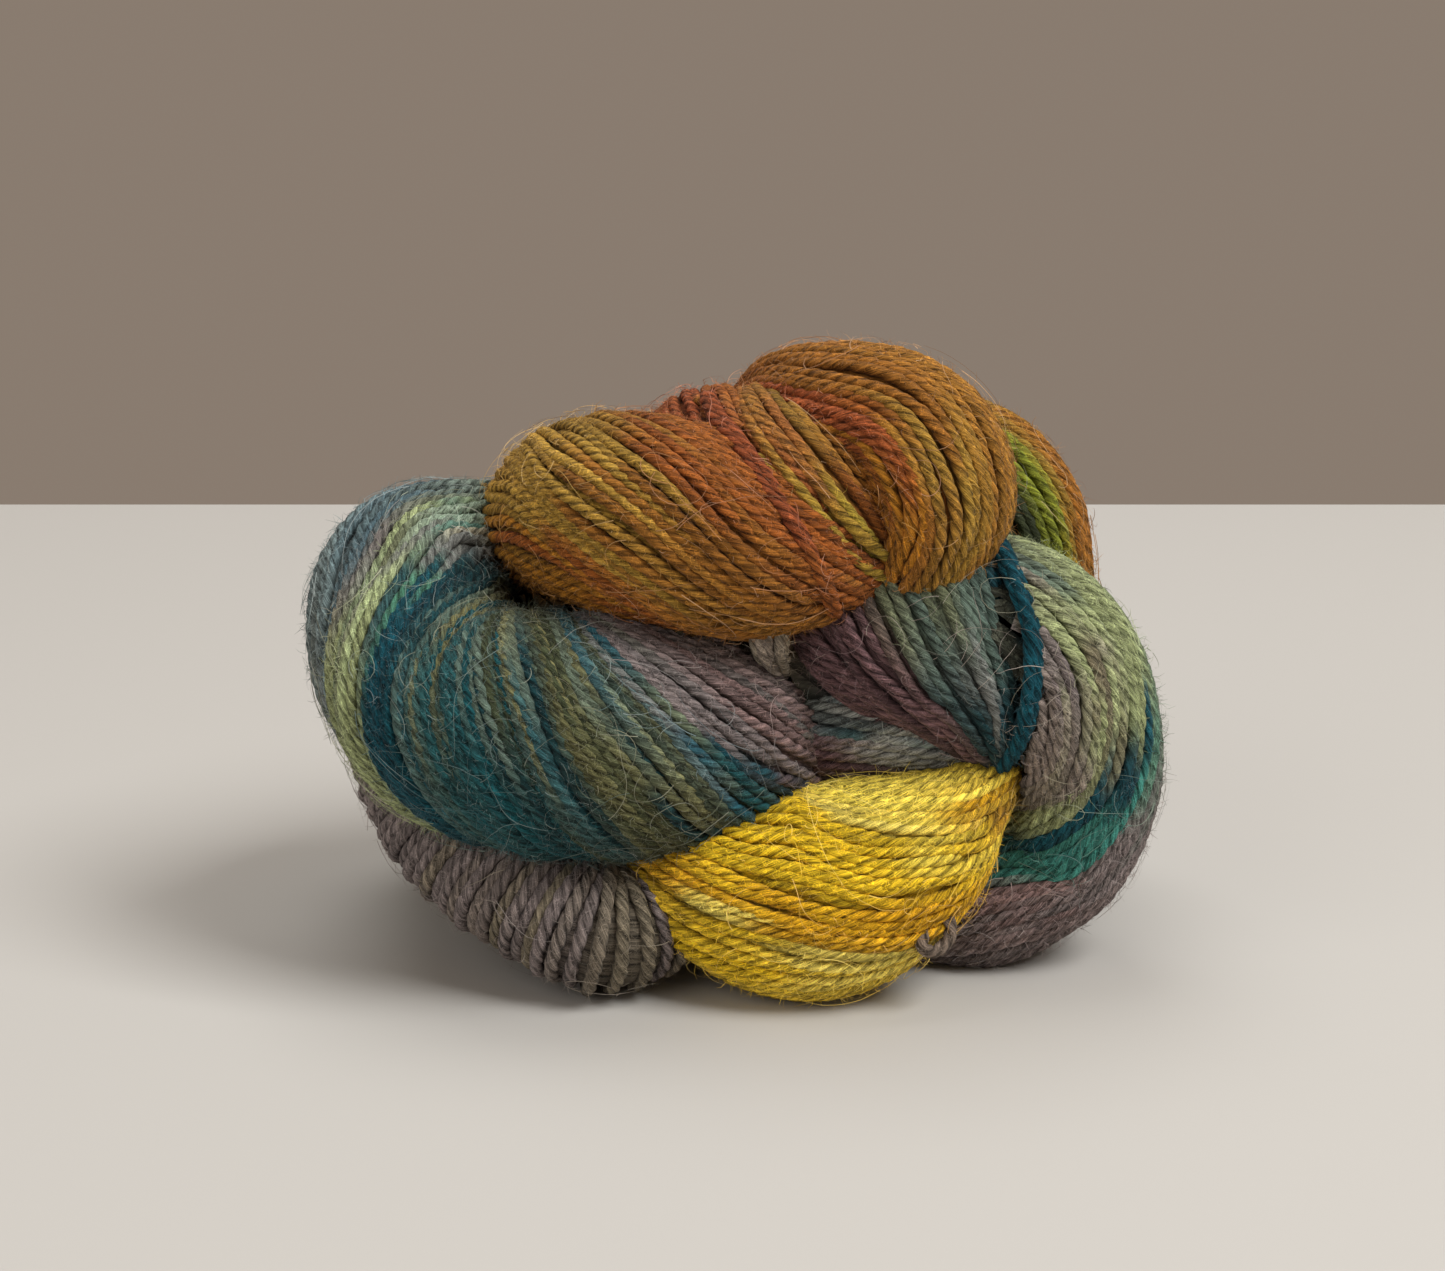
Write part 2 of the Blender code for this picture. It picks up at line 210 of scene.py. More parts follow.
dyes = {
    "petrol": (0.005, 0.055, 0.076),
    "teal": (0.008, 0.072, 0.082),
    "tealDeep": (0.006, 0.038, 0.044),
    "tealBlue": (0.006, 0.062, 0.080),
    "blue": (0.006, 0.085, 0.125),
    "aqua": (0.050, 0.220, 0.180),
    "aquaPale": (0.360, 0.480, 0.360),
    "seaGreen": (0.060, 0.190, 0.120),
    "pineGrey": (0.095, 0.135, 0.105),
    "olive": (0.135, 0.130, 0.055),
    "oliveDeep": (0.045, 0.055, 0.026),
    "limeGrey": (0.300, 0.340, 0.160),
    "limeGreyDeep": (0.150, 0.165, 0.090),
    "paleLime": (0.460, 0.540, 0.270),
    "moss": (0.190, 0.215, 0.022),
    "greyBlue": (0.160, 0.215, 0.215),
    "blueGrey": (0.080, 0.140, 0.165),
    "slate": (0.175, 0.180, 0.165),
    "slatePale": (0.340, 0.345, 0.310),
    "greyMauve": (0.200, 0.165, 0.158),
    "mauve": (0.215, 0.140, 0.130),
    "plum": (0.135, 0.075, 0.078),
    "taupe": (0.250, 0.205, 0.178),
    "taupeOlive": (0.165, 0.140, 0.088),
    "cream": (0.430, 0.370, 0.260),
    "gold": (0.520, 0.270, 0.008),
    "yellow": (0.760, 0.500, 0.018),
    "paleYellow": (0.780, 0.620, 0.120),
    "limeYellow": (0.760, 0.600, 0.080),
    "limeYellowDeep": (0.390, 0.280, 0.034),
    "amber": (0.400, 0.165, 0.016),
    "ochre": (0.290, 0.115, 0.018),
    "ochreDeep": (0.150, 0.058, 0.006),
    "mustard": (0.360, 0.212, 0.034),
    "rust": (0.300, 0.075, 0.024),
    "rustOchre": (0.290, 0.085, 0.016),
}

# The passes of the hank, in mm, much as the part's solid has them. A section is: x, y, z of its middle, half width,
# half depth, and how far the yarns have turned round the lobe by then, in degrees. A dye's spots are where it shows
# in the view, in mm across and above the bun's front foot, and it spreads from there along the yarns. Unruly yarns
# lie less evenly, and mottle is how far dyes stray, in mm. A pass over others isn't cut away where it lies in them.

front = (0.0, -0.966, 0.259)
rear = (0.0, 1.0, 0.0)

passes = {}
passes["tealTurn"] = {
    "yarns": 76, "unruly": 0.8, "mottle": 2.2, "fuzz": 1.7,
    "sections": [
        (-18, 20, 54, 9, 9, 0), (-28.5, 12, 58.5, 10, 10, 0), (-39, 3, 59.5, 11.5, 12, 0),
        (-48.5, -6, 57.5, 15.5, 15, -8), (-48, -17, 49.5, 16, 17, -36), (-41.5, -25, 42.5, 17.5, 18, -115),
        (-27, -29, 40, 18.5, 18, -240), (-11.5, -28, 39.5, 18.5, 17, -345), (2.5, -18, 34, 14.5, 14, -385),
        (10, -2, 24, 10, 10, -395), (13, 14, 16, 8, 8, -400),
    ],
    "spots": {
        "aquaPale": [(-43, 75)], "aqua": [(-38, 73)], "cream": [(-36, 72)], "limeGreyDeep": [(-50, 75), (-20, 44),
        (-2, 32), (-8, 32)], "blueGrey": [(-57, 73), (-60, 69)], "greyBlue": [(-63, 65)], "greyMauve": [(-63, 60),
        (-64, 55), (-56, 68), (-10, 50), (-2, 47)], "limeGrey": [(-64, 50), (-62, 56), (-61, 51), (-61, 46)],
        "slate": [(-50, 71), (-43, 71), (-38, 70), (-60, 62), (-18, 53)], "paleLime": [(-55, 62), (-50, 68), (-58, 57)],
        "seaGreen": [(-45, 68)], "petrol": [(-49, 65), (-54, 60), (-56, 55), (-57, 49), (-56, 43), (-44, 66)],
        "tealBlue": [(-54, 37), (-47, 37), (-30, 40), (2, 35)], "tealDeep": [(-38, 66), (-38, 42), (-26, 31), (-32, 27),
        (8, 30), (-6, 22)], "teal": [(-46, 32), (-51, 46), (-45, 44), (-35, 34), (-38, 28), (3, 29)],
        "olive": [(-43, 59), (-47, 56), (-47, 50), (-23, 39), (-35, 54), (-8, 37), (-14, 36), (-3, 27), (-18, 37),
        (-18, 26)], "pineGrey": [(-41, 51), (-51, 51), (-32, 48), (-24, 47), (-25, 53), (-13, 42)],
        "oliveDeep": [(-38, 59), (-25, 22), (-29, 52), (-10, 26), (-15, 21)], "blue": [(-22, 52), (-17, 48), (-13, 46),
        (-10, 44), (-4, 40)], "mauve": [(5, 43)], "plum": [(8, 36)],
    },
}
passes["greenTurn"] = {
    "middle": 0.45, "yarns": 70, "unruly": 0.4, "mottle": 1.8, "fuzz": 1.3,
    "sections": [
        (4.5, 10, 35, 6, 6, 30), (10, -4, 44, 7, 8, 10), (17, -13, 51, 9, 11, -20), (26, -18, 55, 12, 14, -50),
        (37, -19, 54.5, 14.5, 16, -72), (46.5, -17, 47, 15, 17, -98), (52, -14, 33, 13.4, 17, -140),
        (48.5, -12, 18.5, 12.5, 16, -182), (37.5, -12, 10, 12, 14, -212), (25, -4, 7, 11, 12, -232),
        (13, 8, 8, 9, 9, -245),
    ],
    "spots": {
        "greyMauve": [(47, 63), (48, 53), (57, 17), (53, 11), (41, 8), (25, 4)], "taupe": [(47, 45), (61, 49), (51, 42),
        (47, 36), (43, 32), (48, 28)], "limeGrey": [(51, 59), (53, 50), (58, 54), (62, 42), (53, 30), (45, 25),
        (64, 38), (64, 44), (60, 57)], "taupeOlive": [(58, 42), (58, 34)], "petrol": [(63, 31), (61, 28), (58, 26),
        (51, 23), (45, 20)], "aqua": [(41, 18), (47, 17), (55, 20)], "seaGreen": [(61, 23)], "mauve": [(37, 16),
        (45, 13), (33, 9), (48, 9), (40, 12)], "pineGrey": [(54, 60)],
    },
}
passes["plumFan"] = {
    "yarns": 62, "over": ("greenTurn",), "unruly": 0.4, "mottle": 1.2, "fuzz": 1.1,
    "sections": [
        (17, -5, 69, 17, 9, 0), (22.5, -17, 62, 18.5, 11, 0), (27.8, -23.5, 54, 16.6, 11.5, -6),
        (33.2, -24.5, 46.5, 11.2, 11, -14), (36.8, -21, 39, 6, 8.5, -20), (40, -12, 33, 4.5, 5.5, -20),
        (41, -2, 29, 4, 4, -20),
    ],
    "spots": {
        "plum": [(11, 55), (12, 49), (18, 45), (17, 54), (25, 43), (22, 50), (18, 57)], "limeGreyDeep": [(21, 58),
        (32, 60)], "pineGrey": [(26, 57), (29, 51), (34, 52), (38, 60), (41, 53)], "slate": [(36, 45), (40, 45)],
        "tealDeep": [(31, 44), (37, 38)], "petrol": [(43, 62), (46, 53), (44, 44)],
    },
}
passes["petrolBand"] = {
    "yarns": 6, "over": ("greenTurn",), "unruly": 0.2, "mottle": 0.5, "fuzz": 1.0,
    "sections": [
        (37, -20, 71, 1.9, 2.1, 0), (40, -26.4, 65.6, 1.9, 2.1, 0), (42.2, -30.9, 61.2, 1.9, 2.1, 0),
        (43.7, -33, 55, 1.9, 2.1, 0), (43.5, -33, 47.8, 1.9, 2.1, 0), (42.2, -30.6, 40.2, 1.8, 2, 0),
        (39.5, -25, 33.5, 1.7, 1.8, 0), (38, -14, 29, 1.7, 1.8, 0),
    ],
    "spots": {
        "petrol": [(42, 62), (46, 53), (44, 42)],
    },
}
passes["rustBand"] = {
    "yarns": 4, "over": ("rustPass", "ochreRope", "amberTurn"), "unruly": 0.2, "mottle": 0.5, "fuzz": 1.0,
    "sections": [
        (-4, -14, 88, 1.7, 1.7, 0), (-2.3, -22.8, 86.4, 1.7, 1.7, 0), (1.4, -30.4, 83.4, 1.7, 1.7, 0),
        (5.6, -36.5, 78, 1.7, 1.7, 0), (9.4, -38.4, 72, 1.7, 1.7, 0), (12.4, -37, 66, 1.7, 1.7, 0),
        (14.2, -33, 61, 1.6, 1.6, 0), (15, -23, 57, 1.6, 1.6, 0),
    ],
    "spots": {
        "rust": [(0, 83), (8, 72)], "rustOchre": [(13, 62)],
    },
}
passes["yellowSwag"] = {
    "yarns": 70, "unruly": 0.3, "mottle": 1.8, "fuzz": 0.9,
    "sections": [
        (-23, 2, 23.5, 7, 7, 0), (-14, -16, 22, 9.5, 10, 0), (-2, -28, 17.5, 14, 13, 0),
        (12.5, -31, 16.3, 16.8, 14, -10), (27, -29, 22.5, 13, 12, -60), (36.5, -22, 29, 6.5, 8, -110),
        (42, -10, 31, 5, 5, -130), (44, 4, 31, 5, 5, -130),
    ],
    "spots": {
        "limeYellow": [(19, 31), (28, 32), (33, 28), (30, 19)], "yellow": [(14, 28), (8, 25), (33, 23), (2, 19),
        (-1, 21), (-8, 8), (15, 15), (25, 16), (-1, 3), (12, 21), (20, 24)], "paleYellow": [(23, 28), (-2, 9), (8, 2)],
        "gold": [(38, 29), (-9, 15), (3, 15), (8, 9), (19, 9), (25, 9)], "amber": [(37, 24)],
    },
}
passes["ochreRope"] = {
    "middle": 0.72, "yarns": 66, "unruly": 0.8, "mottle": 2.4, "fuzz": 0.9,
    "sections": [
        (37, 10, 49, 9, 9, 230), (30, 17, 59, 11, 11, 210), (14, 21, 65, 13, 13, 160), (-4, 22, 65, 14, 14, 100),
        (-18, 17, 64, 13.5, 13.5, 50), (-26, 5, 65, 13.5, 13.5, 10), (-20.5, -13, 70.5, 15, 15, -15),
        (-9.5, -25, 71.5, 16, 16, -50), (3, -27, 68, 14, 15, -95), (16, -20, 64, 9, 11, -125),
        (26.5, -4, 58, 7, 8, -140),
    ],
    "spots": {
        "mustard": [(-31, 81), (-24, 83), (-18, 84), (-27, 74), (-33, 74), (-31, 67), (-19, 74), (-22, 68)],
        "amber": [(-28, 61)], "rustOchre": [(-21, 58), (-8, 81), (-5, 76), (12, 61), (14, 67)], "ochre": [(-18, 63),
        (-11, 78), (-12, 59), (0, 61), (6, 63), (-14, 69), (-3, 66)], "ochreDeep": [(-8, 68)],
    },
}
passes["rustPass"] = {
    "yarns": 54, "unruly": 0.7, "mottle": 1.6, "fuzz": 0.9,
    "sections": [
        (-9, 20, 63, 10, 10, 20), (-5, 6, 73, 11, 12, 0), (1, -12, 77, 13, 13, -35), (8.5, -23, 75, 13, 13, -70),
        (16.5, -22, 69, 10, 11, -100), (24.5, -6, 61, 7, 7, -115),
    ],
    "spots": {
        "rust": [(-9, 89), (2, 85), (7, 83), (10, 74), (14, 67)], "rustOchre": [(-4, 91), (21, 74)],
        "limeYellowDeep": [(-4, 84), (5, 76), (12, 78), (18, 71), (21, 66)], "mustard": [(12, 85)], "ochre": [(18, 82),
        (0, 80)],
    },
}
passes["amberTurn"] = {
    "yarns": 58, "unruly": 0.7, "mottle": 2.6, "fuzz": 0.9,
    "sections": [
        (3, 18, 65, 9, 9, 0), (7, 5, 78, 11, 11, 0), (16, -12, 84, 12.5, 13.5, 0), (26.5, -19, 81.5, 13, 15, 0),
        (30, -21, 73, 12, 15, 0), (27.5, -20, 66, 9, 12, 0), (21.5, -12, 60.5, 6.5, 8, 0), (15, 2, 56.5, 5, 6, 0),
    ],
    "spots": {
        "rust": [(7, 94), (16, 92), (19, 89)], "ochre": [(11, 97), (21, 94), (30, 84), (33, 90), (41, 74), (23, 61)],
        "rustOchre": [(25, 80), (31, 73)], "mustard": [(37, 80), (31, 64), (40, 68)], "amber": [(25, 68)],
    },
}
passes["mossPass"] = {
    "yarns": 54, "unruly": 0.6, "mottle": 1.6, "fuzz": 0.9,
    "sections": [
        (6, 8, 63.5, 8, 8, 0), (22, 6, 72.5, 9.5, 11, 0), (37, 6, 73.5, 10.5, 13, 0), (43.5, 4, 66.5, 11, 14, 0),
        (46, 3, 56, 10.5, 14, 0), (46.5, 3, 43.5, 10, 13, 0), (43, 4, 31.5, 9, 11, 0),
    ],
    "spots": {
        "moss": [(41, 85), (46, 82), (49, 76), (51, 69)], "oliveDeep": [(46, 74), (45, 66)], "ochre": [(53, 78),
        (54, 68)], "mustard": [(49, 81)],
    },
}
passes["slatePass"] = {
    "yarns": 38, "unruly": 0.4, "mottle": 2.0, "fuzz": 1.2,
    "sections": [
        (0, -4, 36, 6, 7, 0), (10, -17.5, 37, 8, 9, 0), (21, -20.5, 38, 8, 9, -20), (33, -18.5, 36.5, 7, 8, -30),
        (42, -6, 31, 5, 6, -40),
    ],
    "spots": {
        "slatePale": [(15, 43), (24, 41), (23, 35)], "slate": [(33, 37)], "greyMauve": [(16, 37)], "plum": [(9, 38),
        (9, 33)], "greyBlue": [(28, 38)], "teal": [(13, 42)],
    },
}
passes["creamPass"] = {
    "yarns": 13, "unruly": 0.5, "mottle": 0.5, "fuzz": 1.0,
    "sections": [
        (3.5, -22, 68, 3.4, 3, 0), (4.5, -29, 60.5, 3.6, 3.2, 0), (5, -29.5, 55, 3.4, 3.2, 0), (6, -25, 50, 2.6, 3, 0),
        (8, -14, 45, 2.4, 3, 0),
    ],
    "spots": {
        "cream": [(4, 54), (7, 56)], "taupe": [(6, 50)],
    },
}
passes["taupeFold"] = {
    "yarns": 50, "slant": (8.0, -3.0), "stout": 1.16, "mottle": 3.0, "fuzz": 1.0,
    "sections": [
        (-54.5, 6, 35.5, 7, 7, 0), (-51, -8, 29.5, 8.5, 9, 0), (-45, -17, 22.5, 9.5, 10, 0),
        (-36.5, -24, 17, 10, 11, 0), (-27.5, -29, 13, 10, 11, 0), (-19.5, -31, 10.5, 10.5, 11, 0),
        (-13.5, -27, 11, 9.5, 10, 0), (-9.5, -14, 13, 7, 7, 0),
    ],
    "spots": {
        "greyMauve": [(-55, 32), (-51, 25), (-46, 20), (-32, 15), (-27, 13)], "taupeOlive": [(-40, 18), (-22, 7),
        (-13, 14)], "taupe": [(-38, 11), (-17, 11)],
    },
}
passes["backLeftTurn"] = {
    "facing": rear, "yarns": 64, "unruly": 0.9, "mottle": 3.0, "fuzz": 1.0,
    "sections": [
        (-18, 4, 57, 12, 12, 0), (-36, 8, 53, 14, 15, 0), (-47, 13, 39, 14.5, 17, -20), (-44, 18, 24, 14.5, 17, -60),
        (-26, 27, 15, 15, 15, -130), (-4, 28, 13, 13.5, 14, -180), (12, 20, 16, 10, 10, -200),
    ],
    "spots": {
        "greyBlue": [(-50, 48)], "teal": [(-56, 38), (-30, 10)], "petrol": [(-52, 24)], "pineGrey": [(-44, 16)],
        "olive": [(-40, 30)], "seaGreen": [(-24, 22)], "greyMauve": [(-12, 12)], "mauve": [(0, 10)],
        "limeGrey": [(-36, 20)], "slate": [(-46, 34)],
    },
}
passes["backRightTurn"] = {
    "facing": rear, "yarns": 66, "unruly": 0.8, "mottle": 3.0, "fuzz": 1.0,
    "sections": [
        (14, 10, 55, 11, 12, 0), (30, 14, 56, 13, 15, 0), (43, 15, 45, 14, 17, 20), (46, 17, 29, 14, 18, 60),
        (32, 25, 14.5, 14.5, 16, 120), (10, 30, 13, 13.5, 13, 170), (-8, 25, 18, 10, 10, 190),
    ],
    "spots": {
        "pineGrey": [(30, 60), (14, 20)], "limeGrey": [(44, 54)], "greyMauve": [(54, 42), (26, 8)], "slate": [(50, 28)],
        "aqua": [(54, 20)], "mauve": [(44, 14), (10, 8)], "taupe": [(36, 22)], "greyBlue": [(38, 36)],
    },
}
passes["backPass"] = {
    "facing": rear, "yarns": 58, "unruly": 0.9, "mottle": 3.0, "fuzz": 0.9,
    "sections": [
        (-40, 13, 45, 9, 9, 0), (-30, 23, 43, 12.5, 12, 20), (-12, 30, 42, 15, 14, 70), (8, 32, 43, 15, 14, 120),
        (26, 27, 47, 12, 12, 170), (36, 17, 49, 9, 9, 190),
    ],
    "spots": {
        "mustard": [(-34, 46), (2, 34)], "olive": [(-24, 50)], "ochre": [(-18, 36), (10, 50)], "rustOchre": [(-6, 48)],
        "rust": [(18, 38)], "amber": [(30, 48)], "gold": [(-8, 40)],
    },
}
passes["basePass"] = {
    "yarns": 50, "unruly": 0.5, "mottle": 3.0, "fuzz": 0.5,
    "sections": [
        (-38, 2, 17, 9, 10, 0), (-22, -4, 13, 12, 14, 0), (-2, -4, 12, 13, 17, 0), (18, -2, 12, 13, 17, 0),
        (36, 4, 15, 10, 12, 0),
    ],
    "spots": {
        "taupe": [(-30, 14), (20, 6)], "slate": [(-10, 6), (34, 14)], "greyMauve": [(5, 12)],
    },
}

middle = np.array((0.3, -0.3, 0.0))  # the bottom centre of the bun, in the tables' own frame
onTable = 0.02  # mm that the lowest yarns clear it by
shape = {
    "perSpan": 12,  # points of the smooth line between two sections
    "step": 1.5,  # mm between a lobe's rows
    "thinnest": 0.5,
    "held": 0.75,  # share of the way to a bend's centre, from where points are held back, and how softly
    "give": 0.225,
}


# Lines and sections, worked out as the part's solid has them

def smoothLine(sections, step):
    rows = np.array(sections, float)
    rows = np.vstack([2 * rows[0] - rows[1], rows, 2 * rows[-1] - rows[-2]])
    knots = np.zeros(len(rows))
    knots[1:] = np.cumsum(np.linalg.norm(np.diff(rows[:, :3], axis=0), axis=1) ** 0.5)

    def blend(low, high, start, stop, at):
        share = (at - knots[start]) / (knots[stop] - knots[start])
        return low + (high - low) * share

    pieces = []
    for i in range(1, len(rows) - 2):
        at = np.linspace(knots[i], knots[i + 1], shape["perSpan"], endpoint=False)[:, None]
        first = blend(rows[i - 1], rows[i], i - 1, i, at)
        second = blend(rows[i], rows[i + 1], i, i + 1, at)
        third = blend(rows[i + 1], rows[i + 2], i + 1, i + 2, at)
        left = blend(first, second, i - 1, i + 1, at)
        right = blend(second, third, i, i + 2, at)
        pieces.append(blend(left, right, i, i + 1, at))
    line = np.vstack([*pieces, rows[-2:-1]])
    along = lengths(line[:, :3])
    even = np.linspace(0.0, along[-1], round(along[-1] / step) + 1)
    return np.column_stack([np.interp(even, along, column) for column in line.T])


def lengths(points):
    return np.concatenate([[0.0], np.cumsum(np.linalg.norm(np.diff(points, axis=0), axis=1))])


def unit(vectors):
    return vectors / np.maximum(np.linalg.norm(vectors, axis=-1, keepdims=True), 1e-12)


def smoothed(values, width):
    padded = np.pad(values, ((width, width), (0, 0)), mode="edge")
    kernel = np.ones(2 * width + 1) / (2 * width + 1)
    return np.column_stack([np.convolve(column, kernel, "valid") for column in padded.T])


class Lobe:
    def __init__(self, name, spec):
        self.name, self.spec = name, spec
        self.facing = spec.get("facing", front)
        line = smoothLine(spec["sections"], shape["step"])
        self.centre = line[:, :3] - middle
        self.wide = line[:, 3]
        self.deep = line[:, 4]
        self.turn = np.radians(line[:, 5])
        self.length = lengths(self.centre)
        self.tangent = unit(np.gradient(self.centre, axis=0))
        self.face = self.carried(int(spec.get("middle", 0.5) * (len(line) - 1)), np.array(self.facing))
        self.side = np.cross(self.tangent, self.face)
        self.bend = smoothed(np.gradient(self.tangent, axis=0) / shape["step"], 2)

    def carried(self, start, facing):
        faces = np.zeros_like(self.centre)
        faces[start] = unit(facing - (facing @ self.tangent[start]) * self.tangent[start])
        forward = [(i, i + 1) for i in range(start, len(faces) - 1)]
        backward = [(i, i - 1) for i in range(start, 0, -1)]
        for here, there in forward + backward:
            faces[there] = unit(faces[here] - (faces[here] @ self.tangent[there]) * self.tangent[there])
        return faces

    def at(self, row, angle, inset):  # points and outward directions; row is a fractional index along the lobe
        low = np.clip(np.floor(row).astype(int), 0, len(self.centre) - 2)
        share = (row - low)[..., None]

        def between(values):
            return values[low] * (1.0 - share) + values[low + 1] * share

        sizes = (self.wide, self.deep)
        wide, deep = (np.maximum(between(size[:, None])[..., 0] - inset, shape["thinnest"]) for size in sizes)
        side, face, bend = unit(between(self.side)), unit(between(self.face)), between(self.bend)
        offset = (wide * np.cos(angle))[..., None] * side + (deep * np.sin(angle))[..., None] * face
        reach = (offset * bend).sum(-1, keepdims=True)
        held, give = shape["held"], shape["give"]
        drawnIn = held + give * np.tanh((reach - held) / give)
        strength = np.maximum((bend * bend).sum(-1, keepdims=True), 1e-9)
        offset = offset + bend * (np.where(reach > held, drawnIn, reach) - reach) / strength
        outward = unit(side * (np.cos(angle) / wide)[..., None] + face * (np.sin(angle) / deep)[..., None])
        return between(self.centre) + offset, outward

    def girth(self, inset):  # round the lobe at each row, by Ramanujan's formula for an ellipse
        a, b = (np.maximum(size - inset, shape["thinnest"]) for size in (self.wide, self.deep))
        return math.pi * (3 * (a + b) - np.sqrt((3 * a + b) * (a + 3 * b)))

    def laid(self, row, angle):  # how far along the lobe a point lies, and where round it its yarn starts
        rows = np.arange(len(self.centre))
        return np.interp(row, rows, self.length), angle - np.interp(row, rows, self.turn)


lobes = [Lobe(name, spec) for name, spec in passes.items()]
print(f"{len(lobes)} passes laid out")


# Where a spot in the view lies on a lobe

dyeing = {
    "look": 4.0,  # degrees from one point tried to the next
    "inset": 0.5,
    "close": 3.0,  # mm
    "slack": 0.5,
    "run": 2.6,  # how much further dye runs along the yarns than across
    "blur": 1.6,
}


def seenAt(points, facing):  # across and above the front foot in mm, and how near the eye
    if facing is rear:
        return points[..., 0] + middle[0], points[..., 2], points[..., 1]
    back, up, across, above = sight(camera)
    fromFoot = points - np.array(camera["foot"])
    eye = np.array((across, 0.0, 0.0)) + up * above + back * camera["distance"]
    near = (fromFoot - eye) @ back
    grow = camera["distance"] / -near
    return (fromFoot[..., 0] - across) * grow + across, ((fromFoot @ up) - above) * grow + above, near


def placeSpots(lobe):
    rows = np.arange(len(lobe.centre), dtype=float)
    grid = np.meshgrid(rows, np.radians(np.arange(0.0, 360.0, dyeing["look"])), indexing="ij")
    points = lobe.at(*grid, dyeing["inset"])[0]
    across, above, near = seenAt(points, lobe.facing)
    placed = []
    for dye, spots in lobe.spec["spots"].items():
        for x, z in spots:
            away = np.hypot(across - x, above - z)
            close = away < max(dyeing["close"], away.min() + dyeing["slack"])
            best = np.argmax(np.where(close, near, -np.inf))  # of the points close by, the one nearest the eye
            placed.append((*lobe.laid(grid[0].flat[best], grid[1].flat[best]), dyes[dye]))
    return placed


spotsOn = {lobe.name: placeSpots(lobe) for lobe in lobes}


# Yarn: each is a real twist of three plies

yarn = {
    "radius": 1.0,
    "pitch": 1.58,  # from one yarn to the next where they lie side by side
    "plies": 3,
    "plyTurn": 8.0,  # mm of yarn to one turn of its plies
    "ring": ((0.0, 0.78), (38.0, 1.0), (82.0, 1.0)),  # degrees and share of the radius, for each ply
    "grooveShade": 0.70,  # painted shade: how dark the dye is made between two plies
    "sideShade": 0.55,  # painted shade: how dark the dye is made on the sides where it faces its neighbours
    "sideShadeFrom": (0.45, 0.75),
    "step": 1.0,
    "stepBehind": 1.55,
    "sway": 0.7,  # mm
    "swayLength": 46.0,
    "jitter": 0.14,  # of the room that a yarn has
    "sink": 0.2,
    "wobble": 0.22,
    "wobbleLength": 31.0,
    "layer": 2.4,  # how far in a crowded yarn is pushed
    "diveSoft": 0.10,
    "diveRoom": 0.85,  # share of its room that it leaves to its neighbours
    "buriedAt": 0.97,
    # how many locks go round a lobe, how far they lean, in radians, and their length
    "locks": ((3, 0.065, 71.0), (5, 0.050, 58.0), (9, 0.026, 43.0)),
    "lockLift": 0.45,  # and how proud they stand
    "slantArc": (-105.0, 240.0),  # degrees round a lobe that slanting yarns go
    "slantPoints": 60,
    "slantLayer": (0.6, 0.5),  # past this rank they lie deeper by so much
    "slantLift": 0.2,
    "hiddenDeep": 3.8,  # mm under the solid's skin, past which a yarn isn't made
    "tuck": 3,  # points that run on past there
    "shortest": 3,
    "plyTone": 0.05,
    "tone": 0.13,  # how unlike the yarns are in shade
    "odd": (0.14, 2.6),  # how many are dyed apart from their neighbours, and how far
    "mottle": (2.0, 0.45),  # along and round the lobe
    "mottleLength": 29.0,
    "swell": 0.09,
    "swellLength": 17.0,
    "layWidth": 7.5,  # mm round a yarn, as its fibres' map has it
}

overlap = {
    "beside": (0.86, 1.0),  # share of another lobe's half width that hides a yarn, and how much its depth counts
    "beneath": (1.12, 0.75),  # the same, where the other lies over this one
    "reach": 3.5,  # mm past its nearest row
}

rng = np.random.default_rng(7)
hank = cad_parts["hank"]
skin = BVHTree.FromPolygons(
    [tuple(v.co / mm) for v in hank.data.vertices], [tuple(p.vertices) for p in hank.data.polygons]
)
farInside = 5.0  # mm, past which the skin's own normals aren't asked


def depthUnderSkin(points):
    depths = np.empty(len(points))
    for i, point in enumerate(points):
        where, normal, _, away = skin.find_nearest(Vector(point))
        inside = (Vector(point) - where).dot(normal) < 0.0 or away > farInside
        depths[i] = away if inside else -away
    return depths


def insideOthers(points, lobe):  # True where a point lies well inside another lobe
    inside = np.zeros(len(points), bool)
    for other in lobes:
        if other is lobe or other.name in lobe.spec.get("over", ()):
            continue
        within, outScale = overlap["beneath" if lobe.name in other.spec.get("over", ()) else "beside"]
        away = points[:, None] - other.centre[None, ::2]
        nearest = np.argmin((away * away).sum(-1), axis=1)
        offset = away[np.arange(len(points)), nearest]
        along = np.abs((offset * other.tangent[::2][nearest]).sum(-1))
        across = (offset * other.side[::2][nearest]).sum(-1) / other.wide[::2][nearest]
        out = (offset * other.face[::2][nearest]).sum(-1) / other.deep[::2][nearest]
        inside |= (np.hypot(across, out * outScale) < within) & (along < overlap["reach"])
    return inside


def outOfSight(points, lobe):
    return (depthUnderSkin(points) > yarn["hiddenDeep"]) | insideOthers(points, lobe)


def waver(length, period, phases):  # smooth, unlike for each yarn, between about -1 and 1
    t = length / period * 2 * math.pi
    return (np.sin(t + phases[0]) + 0.6 * np.sin(1.7 * t + phases[1]) + 0.4 * np.sin(2.9 * t + phases[2])) / 2.0


def smoothStep(values):
    values = np.clip(values, 0.0, 1.0)
    return values * values * (3.0 - 2.0 * values)


def bitReversed(count):  # an order in which neighbours differ most, from 0 to 1
    return np.array([sum(((i >> b) & 1) / (2 << b) for b in range(8)) for i in range(count)])


